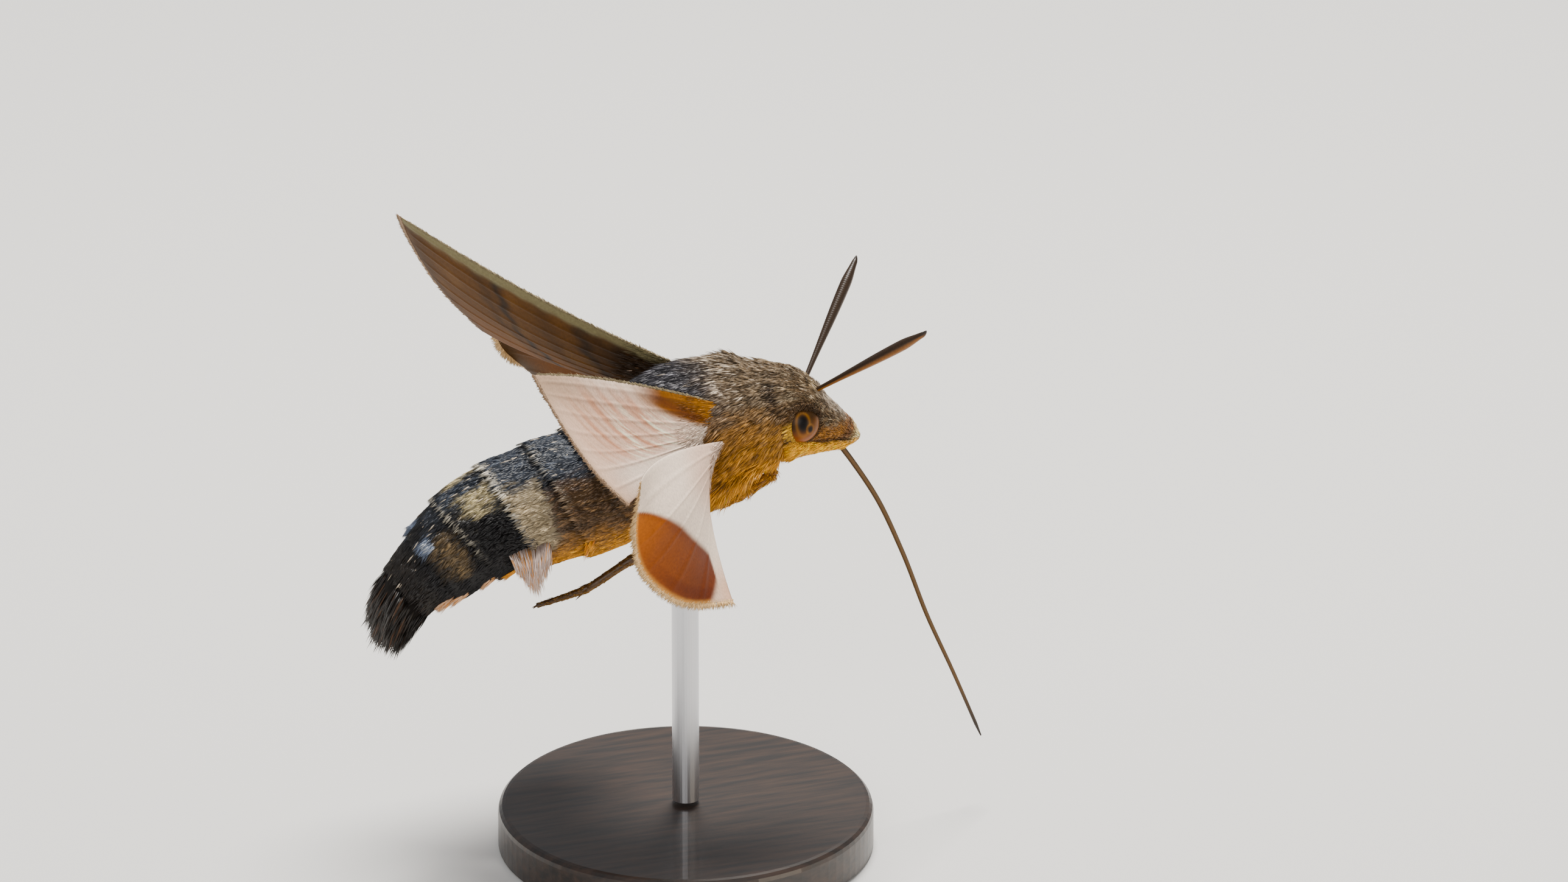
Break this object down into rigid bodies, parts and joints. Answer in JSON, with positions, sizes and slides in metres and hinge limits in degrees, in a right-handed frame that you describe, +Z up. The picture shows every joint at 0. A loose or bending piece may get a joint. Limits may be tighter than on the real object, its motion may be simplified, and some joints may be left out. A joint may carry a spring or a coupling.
{
  "type": "hummingbird hawk moth display model",
  "caption": "Still life-size model of a hovering hummingbird hawk moth with raised wings and an outstretched proboscis, held from below by a rod on a round base.",
  "frame": {"origin": "centre of the stand base's underside", "axes": "+X the way the moth faces, +Y the moth's left, +Z up"},
  "size_m": [0.0428, 0.0319, 0.0418],
  "materials": {
    "thorax_fur": "dense brown-grey hair over the head and thorax, golden on the flanks and underneath",
    "abdomen_fur": "short scales banded slate, cream and black, with white and orange side tufts",
    "tail_fur": "long black-brown scales spread as a brush",
    "face_scales": "close cream and golden scales",
    "eye": "glossy brown compound eye with dark spots",
    "chitin": "dark brown, finely scaled",
    "forewing": "brown above with dark wavy lines, pale pinkish cream below",
    "hindwing": "orange with a brown edge, paler below at the base",
    "stand_base": "black stained wood with an eased edge",
    "stand_rod": "brushed steel"
  },
  "bodies": {
    "root": {"abdomen_1": "abdomen_fur", "abdomen_2": "abdomen_fur", "abdomen_3": "abdomen_fur", "abdomen_4": "abdomen_fur", "abdomen_5": "abdomen_fur", "abdomen_6": "abdomen_fur", "antenna_left": "chitin", "antenna_right": "chitin", "eye_left": "eye", "eye_right": "eye", "fore_leg_left": "chitin", "fore_leg_right": "chitin", "forewing_left": "forewing", "forewing_right": "forewing", "head": "thorax_fur", "hind_leg_left": "chitin", "hind_leg_right": "chitin", "hindwing_left": "hindwing", "hindwing_right": "hindwing", "middle_leg_left": "chitin", "middle_leg_right": "chitin", "palp_left": "face_scales", "palp_right": "face_scales", "proboscis": "chitin", "stand_base": "stand_base", "stand_rod": "stand_rod", "tail_fan": "tail_fur", "thorax": "thorax_fur"}
  },
  "joints": []
}
